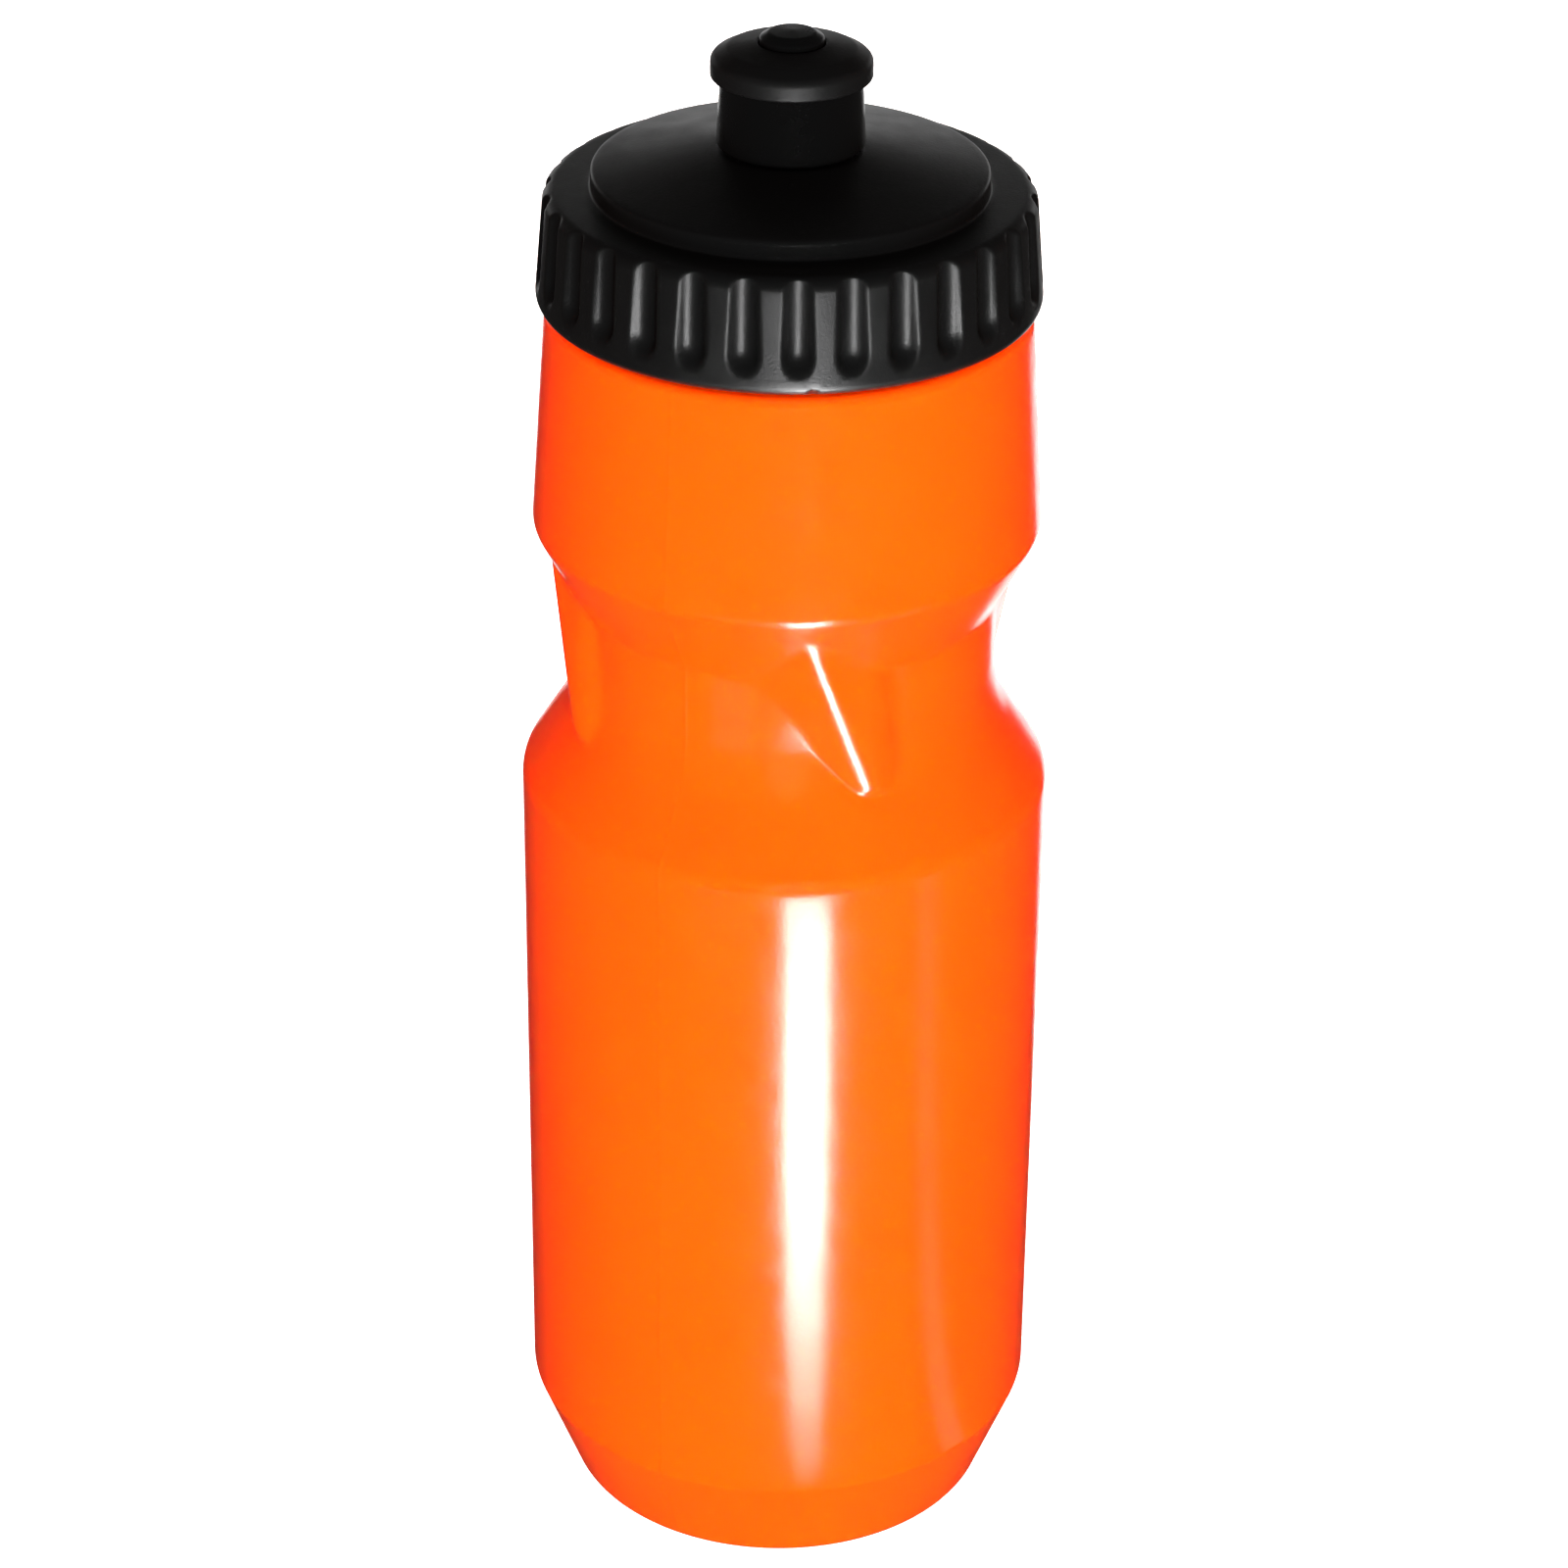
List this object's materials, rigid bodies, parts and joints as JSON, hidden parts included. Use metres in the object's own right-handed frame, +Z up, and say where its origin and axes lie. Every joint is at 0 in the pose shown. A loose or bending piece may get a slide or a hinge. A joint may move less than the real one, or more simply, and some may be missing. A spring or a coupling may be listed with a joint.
{
  "type": "sports squeeze bottle",
  "caption": "Soft squeeze bottle with a pinched, ridged waist, a grooved screw lid and a push-pull drinking nozzle with a centre plug.",
  "frame": {"origin": "centre of the base, on the plane the foot ring stands on", "axes": "+Z up along the bottle's axis towards the nozzle, -Y the front, which one of the four grip ridges is just right of, +X to the right of the front"},
  "size_m": [0.073, 0.073, 0.2212],
  "materials": {
    "bottle_plastic": "glossy, slightly translucent orange low-density polyethylene",
    "lid_plastic": "satin black polypropylene with a fine grain",
    "post_plastic": "semi-gloss black polypropylene",
    "sleeve_plastic": "semi-gloss black polypropylene",
    "bite_rubber": "matt black thermoplastic elastomer",
    "gasket_rubber": "matt translucent-white silicone rubber"
  },
  "bodies": {
    "bottle": {"bottle_body": "bottle_plastic"},
    "seal": {"lid_gasket": "gasket_rubber"},
    "lid": {"screw_lid": "lid_plastic", "valve_post": "post_plastic"},
    "nozzle": {"nozzle_sleeve": "sleeve_plastic", "bite_head": "bite_rubber"}
  },
  "joints": [
    {"name": "lid_lift", "type": "slide", "parent": "bottle", "child": "seal", "axis": [0, 0, 1], "range_m": [0, 0.015]},
    {"name": "lid_turn", "type": "hinge", "parent": "seal", "child": "lid", "pos_m": [0, 0, 0.19], "axis": [0, 0, 1], "range_deg": [0, 900]},
    {"name": "nozzle_pull", "type": "slide", "parent": "lid", "child": "nozzle", "axis": [0, 0, 1], "range_m": [0, 0.0055]}
  ],
  "couplings": [
    {"joint": "lid_lift", "follows": "lid_turn", "m_per_rad": 0.00095493}
  ]
}
